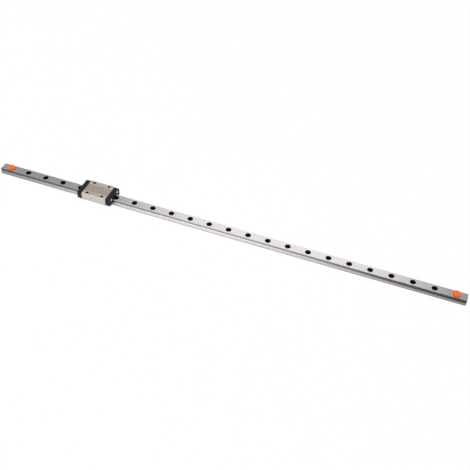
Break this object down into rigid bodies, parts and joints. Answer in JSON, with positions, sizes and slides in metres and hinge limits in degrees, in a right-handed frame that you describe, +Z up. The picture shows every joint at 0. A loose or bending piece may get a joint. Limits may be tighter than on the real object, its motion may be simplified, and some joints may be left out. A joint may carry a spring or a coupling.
{
  "type": "miniature linear guide rail",
  "caption": "Slim steel guide rail with counterbored bolt holes and side ball raceways, carrying a tapped sliding carriage between soft end stops",
  "frame": {"origin": "under the middle of the rail, on its mounting face", "axes": "X along the rail, Y across it, Z up out of the rail's top; the picture looks from the -Y side"},
  "size_m": [0.6, 0.027, 0.013],
  "materials": {
    "rail_steel": "ground along its length",
    "block_steel": "fine ground, satin",
    "cap_plastic": "moulded, slight sheen",
    "seal_rubber": "moulded, dull",
    "screw_steel": "bright zinc",
    "plug_plastic": "soft moulded"
  },
  "bodies": {
    "rail": {"rail": "rail_steel", "stop_plug_left": "plug_plastic", "stop_plug_right": "plug_plastic"},
    "carriage": {"carriage_block": "block_steel", "end_cap_left": "cap_plastic", "end_cap_right": "cap_plastic", "end_seal_left": "seal_rubber", "end_seal_right": "seal_rubber", "cap_screw_left_front": "screw_steel", "cap_screw_left_back": "screw_steel", "cap_screw_right_front": "screw_steel", "cap_screw_right_back": "screw_steel"}
  },
  "joints": [
    {"name": "carriage_slide", "type": "slide", "parent": "rail", "child": "carriage", "axis": [1, 0, 0], "range_m": [-0.0978, 0.4226]}
  ]
}
